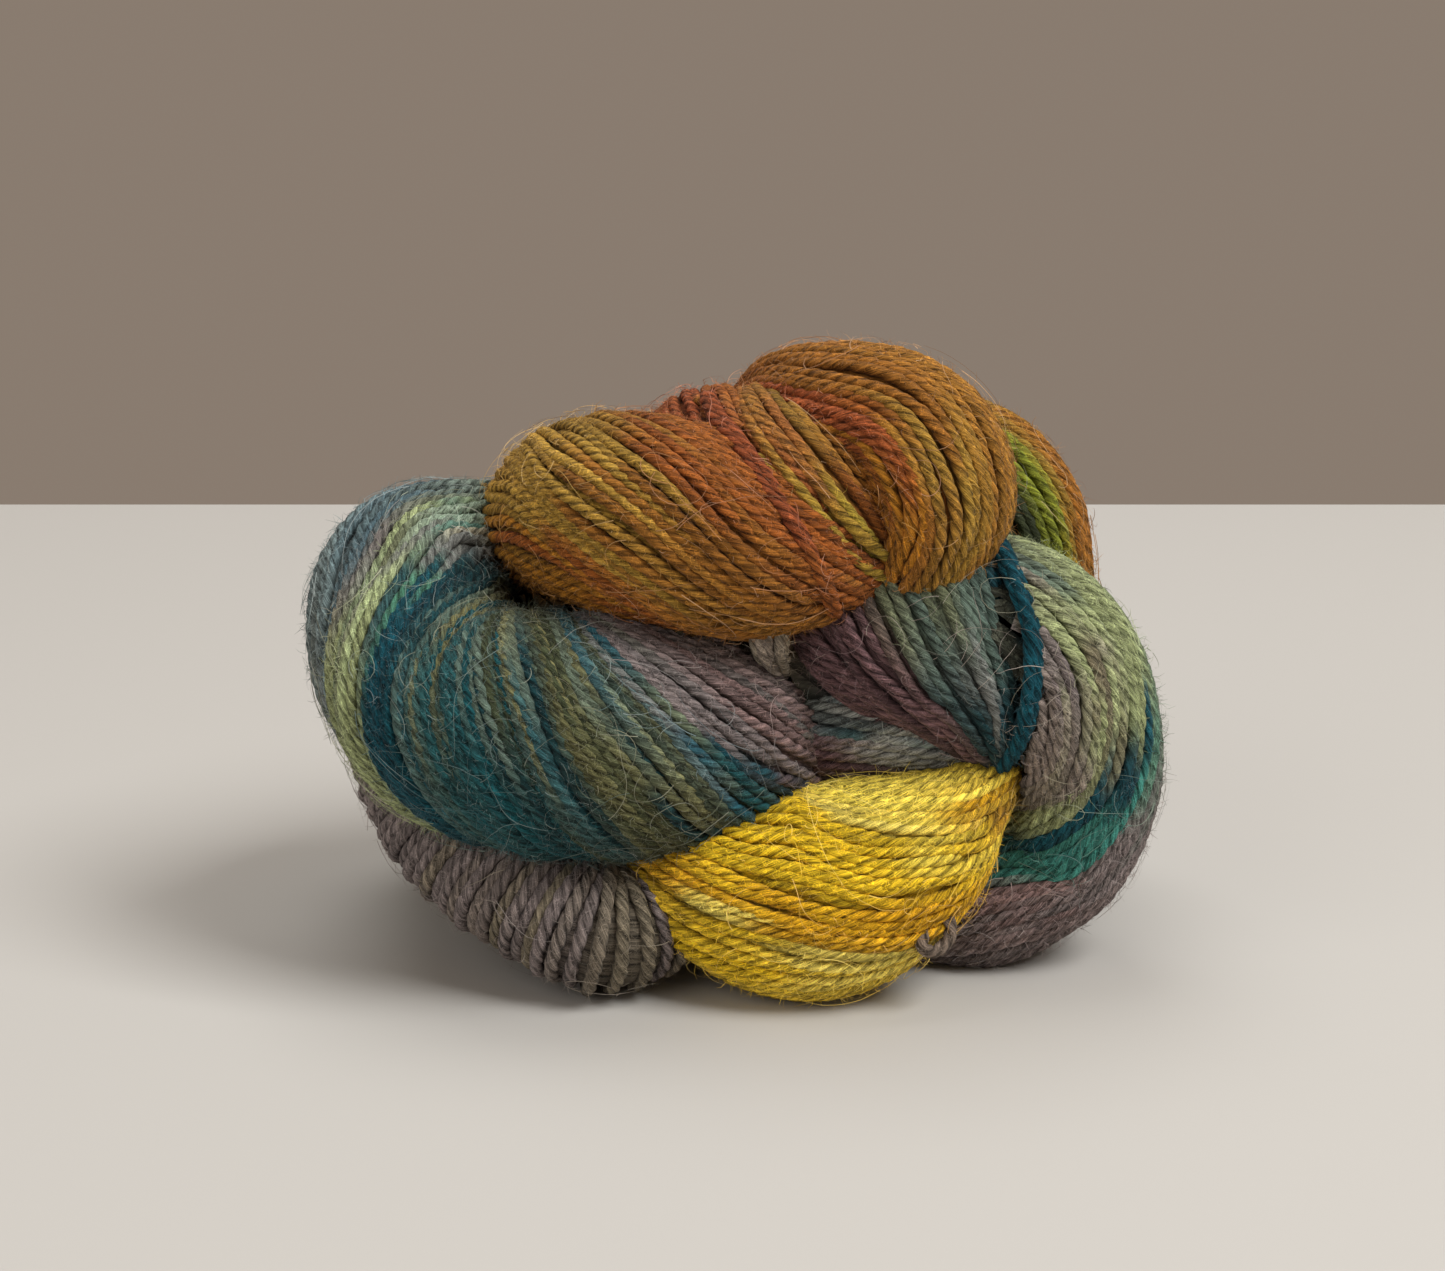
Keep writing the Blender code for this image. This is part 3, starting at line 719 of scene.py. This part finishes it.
def yarnPaths(lobe):
    spec = lobe.spec
    count = spec["yarns"]
    rows = np.arange(len(lobe.centre), dtype=float)
    girth = lobe.girth(yarn["radius"])
    crowd = count * yarn["pitch"] / girth
    ranks = bitReversed(count)
    lockPhases = rng.uniform(0, 2 * math.pi, len(yarn["locks"]))
    below = sum(smoothStep((ranks[:, None] - layer / crowd) / yarn["diveSoft"] + 0.5) for layer in (1.0, 2.0))
    room = 1.0 - yarn["diveRoom"] * np.clip(below, 0.0, 1.0)  # a yarn that dives lets its neighbours close up
    places = (np.cumsum(room, axis=0) - room / 2) / room.sum(axis=0)
    paths = []
    for k in range(count):
        phases = rng.uniform(0, 2 * math.pi, 9)
        jitter = rng.uniform(-yarn["jitter"], yarn["jitter"])
        if "slant" in spec:
            angle = np.radians(np.linspace(*yarn["slantArc"], yarn["slantPoints"]))
            first, last = spec["slant"]
            slant = (first + (last - first) * k / count) * np.linspace(-1.0, 1.0, len(angle))
            row = np.clip((len(rows) - 1) * (k + 0.5 + jitter) / count + slant, 0, len(rows) - 1.01)
            rank, deeper = yarn["slantLayer"]
            inset = yarn["radius"] + deeper * (ranks[k] > rank) + yarn["slantLift"] * np.sin(phases[0])
            points, outward = lobe.at(row, angle, inset)
            start = np.zeros(len(angle))
            place = np.interp(row, rows, lobe.length)
            buried = np.zeros(len(angle), bool)
        else:
            sway = yarn["sway"] * waver(lobe.length, yarn["swayLength"], phases[:3])
            start = 2 * math.pi * (places[k] + jitter / count)
            lean, lift = 0.0, 0.0
            for (locks, reach, period), phase in zip(yarn["locks"], lockPhases):
                swing = locks * start + phase + 2 * math.pi * lobe.length / period
                lean = lean + spec["unruly"] * reach * np.sin(swing)
                lift = lift + spec["unruly"] * yarn["lockLift"] * np.cos(swing + 1.0) / 2
            angle = start + lobe.turn + sway / girth * 2 * math.pi + lean
            inset = yarn["radius"] + yarn["layer"] * below[k] + yarn["sink"] - lift
            inset = inset + yarn["wobble"] * waver(lobe.length, yarn["wobbleLength"], phases[3:6])
            points, outward = lobe.at(rows, angle, inset)
            place = lobe.length
            buried = below[k] > yarn["buriedAt"]
        paths.append({
            "points": points, "outward": outward, "place": place, "start": start, "buried": buried, "phases": phases,
        })
    return paths


def dyeOf(lobe, place, start, shift=(0.0, 0.0)):  # the dye at each point of a yarn, from the lobe's spots
    radius = np.mean(lobe.wide)
    place = place + shift[0]
    start = start + shift[1] / radius
    weights, total = 0.0, 0.0
    for along, angle, colour in spotsOn[lobe.name]:
        turn = 0.0 if "slant" in lobe.spec else (start - angle + math.pi) % (2 * math.pi) - math.pi
        away = (radius * turn) ** 2 + ((place - along) / dyeing["run"]) ** 2
        weight = (1.0 / (away + dyeing["blur"])) ** 3
        total = total + weight[:, None] * np.array(colour)
        weights = weights + weight
    return total / weights[:, None]


def resampled(path, step):
    along = lengths(path["points"])
    even = np.linspace(0.0, along[-1], max(int(along[-1] / step), 3) + 1)
    made = {"length": even, "phases": path["phases"]}
    for name in ("points", "outward"):
        made[name] = np.column_stack([np.interp(even, along, column) for column in path[name].T])
    for name in ("place", "start", "buried"):
        made[name] = np.interp(even, along, path[name])
    return made


def shownRuns(hidden):  # stretches that show, with a tuck at each end
    runs = []
    for low, high in np.flatnonzero(np.diff(np.pad((~hidden).astype(int), 1))).reshape(-1, 2):
        if high - low < yarn["shortest"]:
            continue
        low, high = max(low - yarn["tuck"], 0), min(high + yarn["tuck"], len(hidden))
        if runs and low <= runs[-1][1]:
            runs[-1] = (runs[-1][0], high)
        else:
            runs.append((low, high))
    return runs


def dyed(mesh, colours, maps):  # the dye at each point, and the UV maps
    tones = np.ones((len(mesh.vertices), 4), np.float32)
    tones[:, :3] = colours
    mesh.attributes.new("dye", "FLOAT_COLOR", "POINT").data.foreach_set("color", tones.ravel())
    for title, values in maps.items():
        mesh.uv_layers.new(name=title).uv.foreach_set("vector", np.asarray(values, np.float32).ravel())
    mesh.shade_smooth()


def asPiece(name, mesh, material):
    made = bpy.data.objects.new(name, mesh)
    made.data.materials.append(material)
    bpy.context.collection.objects.link(made)
    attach(made, "root")
    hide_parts("hank")
    return made


class Strands:  # gathers many tubes, or flat ribbons where a ring is 2 points, into one mesh
    def __init__(self, ringSize):
        self.ringSize = ringSize
        self.points, self.colours, self.quads, self.tips, self.lay = [], [], [], [], []
        self.count = 0

    def add(self, rings, colours, along, girth):  # rings: points, ring, xyz
        n, m = rings.shape[:2]
        base = self.count
        sides = m if m > 2 else 1
        i = np.arange(n - 1)[:, None] * m
        j = np.arange(sides)[None]
        k = (j + 1) % m
        v0 = np.broadcast_to(j / sides, (n - 1, sides))
        v1 = v0 + 1 / sides
        u0, u1 = (np.broadcast_to(ends[:, None], (n - 1, sides)) for ends in (along[:-1], along[1:]))
        lay = np.stack([np.stack(pair, -1) for pair in ((u0, v0), (u0, v1), (u1, v1), (u1, v0))], 2)
        self.points.append(rings.reshape(-1, 3))
        self.colours.append(colours.reshape(-1, 3))
        self.quads.append(np.stack([i + j, i + k, i + m + k, i + m + j], -1).reshape(-1, 4) + base)
        self.lay.append((lay.reshape(-1, 4, 2), girth))
        if m > 2:
            self.tips.append((base, base + (n - 1) * m))
        self.count += n * m

    def maps(self, columns, edge=(0.02, 0.05)):  # a strip of the bake for each strand, and its fibres' lay in mm
        longest = max(lay[..., 0].max() for lay, _ in self.lay)
        perColumn = math.ceil(len(self.lay) / columns)
        inner = ((1 - 2 * edge[0]) / longest, 1 - 2 * edge[1])
        atlas, fibres = [], []
        for band, (lay, girth) in enumerate(self.lay):
            strip = (lay * inner + (edge[0], band % perColumn + edge[1])) / (columns, perColumn)
            atlas.append(strip + (band // perColumn / columns, 0.0))
            fibres.append(lay * (1.0, girth) + (0.0, 3.0 * band))  # so that no two strands have the same streaks
        return {"OFBake": np.vstack(atlas), "lay": np.vstack(fibres)}

    def mesh(self, name, columns):
        points, quads, m = np.vstack(self.points) * mm, np.vstack(self.quads), self.ringSize
        caps = np.array([[low + i for i in range(m)][::-1] for low, _ in self.tips]
                        + [[high + i for i in range(m)] for _, high in self.tips], int).reshape(-1, m)
        made = bpy.data.meshes.new(name)
        made.vertices.add(len(points))
        made.vertices.foreach_set("co", points.astype(np.float32).ravel())
        corners = np.concatenate([quads.ravel(), caps.ravel()]).astype(np.int32)
        made.loops.add(len(corners))
        made.loops.foreach_set("vertex_index", corners)
        sizes = np.concatenate([np.full(len(quads), 4), np.full(len(caps), m)])
        made.polygons.add(len(sizes))
        made.polygons.foreach_set("loop_start", (np.cumsum(sizes) - sizes).astype(np.int32))
        made.update(calc_edges=True)
        capMap = np.zeros((caps.size, 2))  # the ends are out of sight, and need no room in a map
        maps = {title: np.vstack([uv.reshape(-1, 2), capMap]) for title, uv in self.maps(columns).items()}
        dyed(made, np.vstack(self.colours), maps)
        made.validate()
        return made


def pliedTube(strands, path, colours, radius, phase):
    points = path["points"]
    tangent = unit(np.gradient(points, axis=0))
    normal = unit(path["outward"] - (path["outward"] * tangent).sum(-1, keepdims=True) * tangent)
    across = np.cross(tangent, normal)
    turn = phase - 2 * math.pi * path["length"] / yarn["plyTurn"]
    degrees, shares = np.array(yarn["ring"] * yarn["plies"]).T
    plyAt = np.repeat(np.arange(yarn["plies"]) * 360.0 / yarn["plies"], len(yarn["ring"]))
    angles = turn[:, None] + np.radians(plyAt + degrees)[None]
    reach = radius[:, None] * shares[None]
    rings = points[:, None] + reach[..., None] * (
        np.cos(angles)[..., None] * normal[:, None] + np.sin(angles)[..., None] * across[:, None]
    )
    rings[..., 2] = np.maximum(rings[..., 2], onTable)
    # Painted shade: the dye is darkened at the valleys between plies
    grooveShade = np.where(shares < 1.0, yarn["grooveShade"], 1.0)
    plyTone = np.repeat(rng.normal(1.0, yarn["plyTone"], yarn["plies"]), len(yarn["ring"]))
    # Painted shade: the dye is darkened on the sides that turn away from the lobe's outside
    least, rise = yarn["sideShadeFrom"]
    sideShade = yarn["sideShade"] + (1.0 - yarn["sideShade"]) * smoothStep(least + rise * np.cos(angles))
    tones = colours[:, None] * (grooveShade * plyTone * sideShade)[..., None]
    strands.add(rings, tones, path["length"], yarn["layWidth"])


def dress(name, strands, columns, material):
    triangles = sum(len(quads) * 2 for quads in strands.quads) + len(strands.tips) * (strands.ringSize - 2) * 2
    print(f"{name}: {len(strands.lay)} strands, {triangles} triangles")
    return asPiece(name, strands.mesh(name, columns), material)


fuzzRoots = []


def makeYarns(lobe):
    spec = lobe.spec
    strands = Strands(yarn["plies"] * len(yarn["ring"]))
    step = yarn["stepBehind"] if lobe.facing is rear or lobe.name == "basePass" else yarn["step"]
    paths = [resampled(path, step) for path in yarnPaths(lobe)]
    for path in paths:
        path["points"][:, 2] = np.maximum(path["points"][:, 2], yarn["radius"] * 0.95)
    hidden = outOfSight(np.vstack([path["points"] for path in paths]), lobe)
    hidden |= np.concatenate([path["buried"] for path in paths]) > 0.5
    at = 0
    for path in paths:
        gone = hidden[at:at + len(path["points"])]
        at += len(gone)
        tone = rng.normal(1.0, yarn["tone"])
        stray = yarn["odd"][1] if rng.random() < yarn["odd"][0] else 1.0
        shift = rng.normal(0.0, 1.0, 2) * spec["mottle"] * yarn["mottle"] * stray
        phase = rng.uniform(0, 2 * math.pi)
        for low, high in shownRuns(gone):
            run = {name: values[low:high] for name, values in path.items() if name != "phases"}
            wander = spec["mottle"] * waver(run["place"], yarn["mottleLength"], path["phases"][5:8])
            colours = dyeOf(lobe, run["place"] + wander, run["start"], shift) * tone
            swell = 1.0 + yarn["swell"] * waver(run["length"], yarn["swellLength"], path["phases"][2:5])
            pliedTube(strands, run, colours, yarn["radius"] * spec.get("stout", 1.0) * swell, phase)
            fuzzRoots.append((run["points"], run["outward"], colours, gone[low:high], spec["fuzz"]))
    return dress(lobe.name, strands, 1, woolMaterial)


for lobe in lobes:
    makeYarns(lobe)
print("yarns made")


# The loose loop of brown yarn that stands out of the crease at the lower right

looseLoop = {
    "dye": (0.165, 0.125, 0.095),
    "radius": 1.05,
    "facing": (0.0, -0.9, 0.3),
    "step": 0.5,
    "path": [
        (29.5, -28.0, 16.5), (30.2, -35.5, 16.0), (31.6, -37.6, 14.0), (31.9, -38.2, 12.0), (30.8, -38.8, 10.3),
        (28.9, -40.2, 9.9), (27.5, -41.0, 11.3), (28.0, -39.0, 12.8), (28.8, -34.0, 13.2), (29.2, -27.0, 12.5),
    ],
}


def makeLooseLoop(spec):
    line = smoothLine([(*point, 1.0, 1.0, 0.0) for point in spec["path"]], spec["step"])[:, :3] - middle
    outward, colours = (np.tile(spec[name], (len(line), 1)) for name in ("facing", "dye"))
    path = {"points": line, "outward": outward, "length": lengths(line)}
    strands = Strands(yarn["plies"] * len(yarn["ring"]))
    pliedTube(strands, path, colours, np.full(len(line), spec["radius"]), 0.0)
    fuzzRoots.append((line, outward, colours, np.zeros(len(line), bool), 1.0))
    return dress("looseLoop", strands, 1, woolMaterial)


# The wool between and behind the yarns, a little inside the solid's skin, its dyes darkened as painted shade

heart = {"inset": 2.4, "floor": 0.6, "shade": 0.35}


def makeHeart(spec):
    mesh = hank.data.copy()
    mesh.name = "heart"
    mesh.materials.clear()
    points = np.array([tuple(v.co) for v in mesh.vertices], np.float32)
    normals = np.array([tuple(v.normal) for v in mesh.vertices])
    moved = points - normals * spec["inset"] * mm
    moved[:, 2] = np.maximum(moved[:, 2], spec["floor"] * mm)
    mesh.vertices.foreach_set("co", moved.astype(np.float32).ravel())
    nearness, shades = [], []
    for lobe in lobes:
        away = np.linalg.norm(points[:, None] / mm - lobe.centre[None, ::2], axis=2)
        nearness.append((away / np.sqrt(lobe.wide * lobe.deep)[None, ::2]).min(axis=1))
        # Painted shade: each pass's mean dye, darkened
        shades.append(np.mean([colour for _, _, colour in spotsOn[lobe.name]], axis=0) * spec["shade"])
    mesh.uv_layers.new(name="lay")
    dyed(mesh, np.array(shades)[np.argmin(nearness, axis=0)], {})
    return asPiece("heart", mesh, woolMaterial)


# A layer just under the yarns of each pass, with the same dyes darkened as painted shade, so that no gap between two
# yarns is empty

under = {"inset": 1.45, "sides": 36, "everyRow": 2, "shade": 0.55, "cells": 4, "edge": 0.02}


def makeUnderlayer(spec):
    sides, cells = spec["sides"], spec["cells"]
    points, colours, faces, atlas, lay = [], [], [], [], []
    for number, lobe in enumerate(lobes):
        row = np.arange(0.0, len(lobe.centre) - 1.0, spec["everyRow"])
        row, angle = np.meshgrid(row, np.arange(sides) / sides * 2 * math.pi, indexing="ij")
        around = lobe.at(row, angle, spec["inset"])[0].reshape(-1, 3)
        around[:, 2] = np.maximum(around[:, 2], yarn["radius"])
        place, start = (values.ravel() for values in lobe.laid(row, angle))
        i, j = (grid.ravel() for grid in np.meshgrid(np.arange(len(row) - 1), np.arange(sides), indexing="ij"))
        k = (j + 1) % sides
        corners = np.stack([i * sides + j, i * sides + k, (i + 1) * sides + k, (i + 1) * sides + j], -1)
        shown = ~outOfSight(around, lobe)[corners].all(axis=1)
        along = np.stack([i, i, i + 1, i + 1], -1)[shown] / (len(row) - 1)
        turned = np.stack([j, j + 1, j + 1, j], -1)[shown] / sides
        cell = np.array((number % cells, number // cells))
        atlas.append((np.stack([along, turned], -1) * (1 - 2 * spec["edge"]) + spec["edge"] + cell) / cells)
        lay.append(np.stack([along * lobe.length[-1], turned * 2 * math.pi * lobe.wide.mean()], -1))
        faces.append(corners[shown] + sum(len(part) for part in points))
        points.append(around)
        # Painted shade: the dyes darkened
        colours.append(dyeOf(lobe, place, start) * spec["shade"])
    mesh = bpy.data.meshes.new("underlayer")
    mesh.from_pydata((np.vstack(points) * mm).tolist(), [], np.vstack(faces).tolist())
    dyed(mesh, np.vstack(colours), {"OFBake": np.vstack(atlas), "lay": np.vstack(lay)})
    print(f"underlayer: {2 * len(mesh.polygons)} triangles")
    return asPiece("underlayer", mesh, woolMaterial)


makeLooseLoop(looseLoop)
makeHeart(heart)
makeUnderlayer(under)


# Fuzz: short hairs that stand off every yarn, and long strays that wander over the bun

fuzz = {
    "hairs": 46000,
    "points": 3,
    "length": (0.8, 3.0),
    "stand": (0.2, 1.3),  # how far a hair stands off its yarn, against how far it goes anyhow
    "anyhow": 0.6,
    "root": (0.6, 0.3),  # share of the yarn's radius, and mm to any side
    "curl": 0.75,  # radians at each point
    "kink": 0.12,
    "tip": 0.25,
    "bright": 1.2,
    "halfWidth": 0.045,
    "pale": 0.22,  # how far a hair's colour is mixed towards wool white
    "above": 1.6,  # mm over the table, below which none grows
    "floor": 0.15,
    "columns": 60,  # of the hairs' map
}
strays = {
    "hairs": 1500,
    "points": 16,
    "length": (5.0, 19.0),
    "bow": 0.16,
    "kink": 0.11,
    "low": 0.25,  # mm off the yarns, at the least
    "lift": (0.1, 1.0),
    "arch": (1.6, 3.2),  # half a turn brings the end back down
    "sunk": 0.3,
    "floor": 0.4,
    "tip": 0.3,
    "bright": 1.1,
    "halfWidth": 0.054,
    "pale": (0.03, 0.25),
    "columns": 12,
}
woolWhite = np.array((0.62, 0.58, 0.50))
hairLay = 0.15  # mm across a hair, as its map has it


def ribbon(strands, points, colour, spec):  # hairs are flat, and turned each its own way
    tangent = unit(np.gradient(points, axis=0))
    across = unit(np.cross(tangent, rng.normal(0.0, 1.0, 3)))
    reach = (spec["halfWidth"] * np.linspace(1.0, spec["tip"], len(points)))[:, None] * across
    rings = np.stack([points - reach, points + reach], axis=1)
    strands.add(rings, np.broadcast_to(colour, rings.shape), lengths(points), hairLay)


def makeFuzz(spec):
    points, outward, colours = (np.vstack([root[i] for root in fuzzRoots]) for i in range(3))
    share = np.concatenate([np.where(root[3], 0.0, root[4]) for root in fuzzRoots])
    share = share * (points[:, 2] > spec["above"])
    picks = rng.choice(len(points), spec["hairs"], p=share / share.sum())
    strands = Strands(2)
    for i in picks:
        length = rng.uniform(*spec["length"]) * (0.5 + 0.5 * rng.random())
        heading = unit(outward[i] * rng.uniform(*spec["stand"]) + rng.normal(0, spec["anyhow"], 3))
        axis = unit(rng.normal(0, 1.0, 3))
        out, aside = spec["root"]
        line = [points[i] + outward[i] * yarn["radius"] * out + rng.normal(0, aside, 3)]
        for _ in range(spec["points"] - 1):
            heading = unit(heading + spec["curl"] * np.cross(axis, heading) + rng.normal(0, spec["kink"], 3))
            line.append(line[-1] + heading * length / (spec["points"] - 1))
        line = np.array(line)
        line[:, 2] = np.maximum(line[:, 2], spec["floor"])
        colour = colours[i] * spec["bright"] + woolWhite * spec["pale"] * rng.random() ** 2
        ribbon(strands, line, colour, spec)
    return dress("fuzz", strands, spec["columns"], hairMaterial)


def makeStrays(spec):
    strands = Strands(2)
    chances = np.array([lobe.spec["fuzz"] * lobe.length[-1] * lobe.wide.mean() for lobe in lobes])
    n = spec["points"]
    while len(strands.lay) < spec["hairs"]:
        lobe = lobes[rng.choice(len(lobes), p=chances / chances.sum())]
        last = len(lobe.centre) - 3
        step = rng.uniform(*spec["length"]) * (0.4 + 0.6 * rng.random()) / n
        heading = rng.uniform(0, 2 * math.pi) if rng.random() < 0.5 else rng.normal(0, 0.5) + math.pi * rng.integers(2)
        turns = np.cumsum(np.full(n, rng.normal(0, spec["bow"])) + rng.normal(0, spec["kink"], n)) + heading
        row = rng.uniform(2, last) + np.cumsum(np.cos(turns)) * step / shape["step"]
        angle = rng.uniform(0, 2 * math.pi) + np.cumsum(np.sin(turns)) * step / lobe.wide.mean()
        if row.min() < 1 or row.max() > last:
            continue
        lift = rng.uniform(*spec["lift"]) * np.sin(np.linspace(0.15, rng.uniform(*spec["arch"]), n))
        line = lobe.at(row, angle, -spec["low"] - lift)[0]
        if depthUnderSkin(line).max() > spec["sunk"] or line[:, 2].min() < spec["floor"]:
            continue
        colour = dyeOf(lobe, *lobe.laid(row, angle)).mean(axis=0) * spec["bright"]
        ribbon(strands, line, colour + woolWhite * rng.uniform(*spec["pale"]), spec)
    return dress("strays", strands, spec["columns"], hairMaterial)


def makeHairFinish(name):
    made, tree, shader = finish(name, {"Roughness": 0.6, "Sheen Weight": 0.2, "Specular IOR Level": 0.3})
    feed(shader, "Base Color", node(tree, "ShaderNodeAttribute", {"attribute_name": "dye"}))
    return made


hairMaterial = makeHairFinish("woolHair")
makeFuzz(fuzz)
makeStrays(strays)


# Table, lamps and room

studio = {
    "table": (0.50, 0.485, 0.455),
    "tableEdge": 0.302,  # m behind the bun
    "tableFront": 2.0,
    "tableWidth": 6.0,
    "room": (0.250, 0.200, 0.160),
    "roomStrength": 1.0,
    "lampsAim": (0.0, 0.0, 0.04),
    "key": {"at": (0.85, -0.55, 1.25), "size": 0.75, "watts": 24.0},
    "fill": {"at": (-0.80, -0.90, 0.60), "size": 1.0, "watts": 4.5},
    "top": {"at": (-0.15, 0.30, 1.20), "size": 0.8, "watts": 6.0},
}


def makeStudio(spec):
    table, _, shader = finish("tableTop", {"Roughness": 0.75, "Specular IOR Level": 0.2})
    shader.inputs["Base Color"].default_value = (*spec["table"], 1.0)
    back, front = spec["tableEdge"], spec["tableFront"]
    bpy.ops.mesh.primitive_plane_add(size=1.0, location=(0.0, (back - front) / 2, 0.0))
    top = bpy.context.object
    top.name = "table"
    top.scale = (spec["tableWidth"], back + front, 1.0)
    top.data.materials.append(table)
    world = bpy.data.worlds.new("room")
    world.use_nodes = True
    background = world.node_tree.nodes["Background"]
    background.inputs["Color"].default_value = (*spec["room"], 1.0)
    background.inputs["Strength"].default_value = spec["roomStrength"]
    bpy.context.scene.world = world
    bpy.context.scene.view_settings.view_transform = "Standard"
    for name in ("key", "fill", "top"):
        lamp = bpy.data.lights.new(name, "AREA")
        lamp.energy = spec[name]["watts"]
        lamp.size = spec[name]["size"]
        holder = bpy.data.objects.new(name, lamp)
        holder.location = spec[name]["at"]
        aim = Vector(spec[name]["at"]) - Vector(spec["lampsAim"])
        holder.rotation_euler = aim.to_track_quat("Z", "Y").to_euler()
        bpy.context.collection.objects.link(holder)


makeStudio(studio)
print("done")
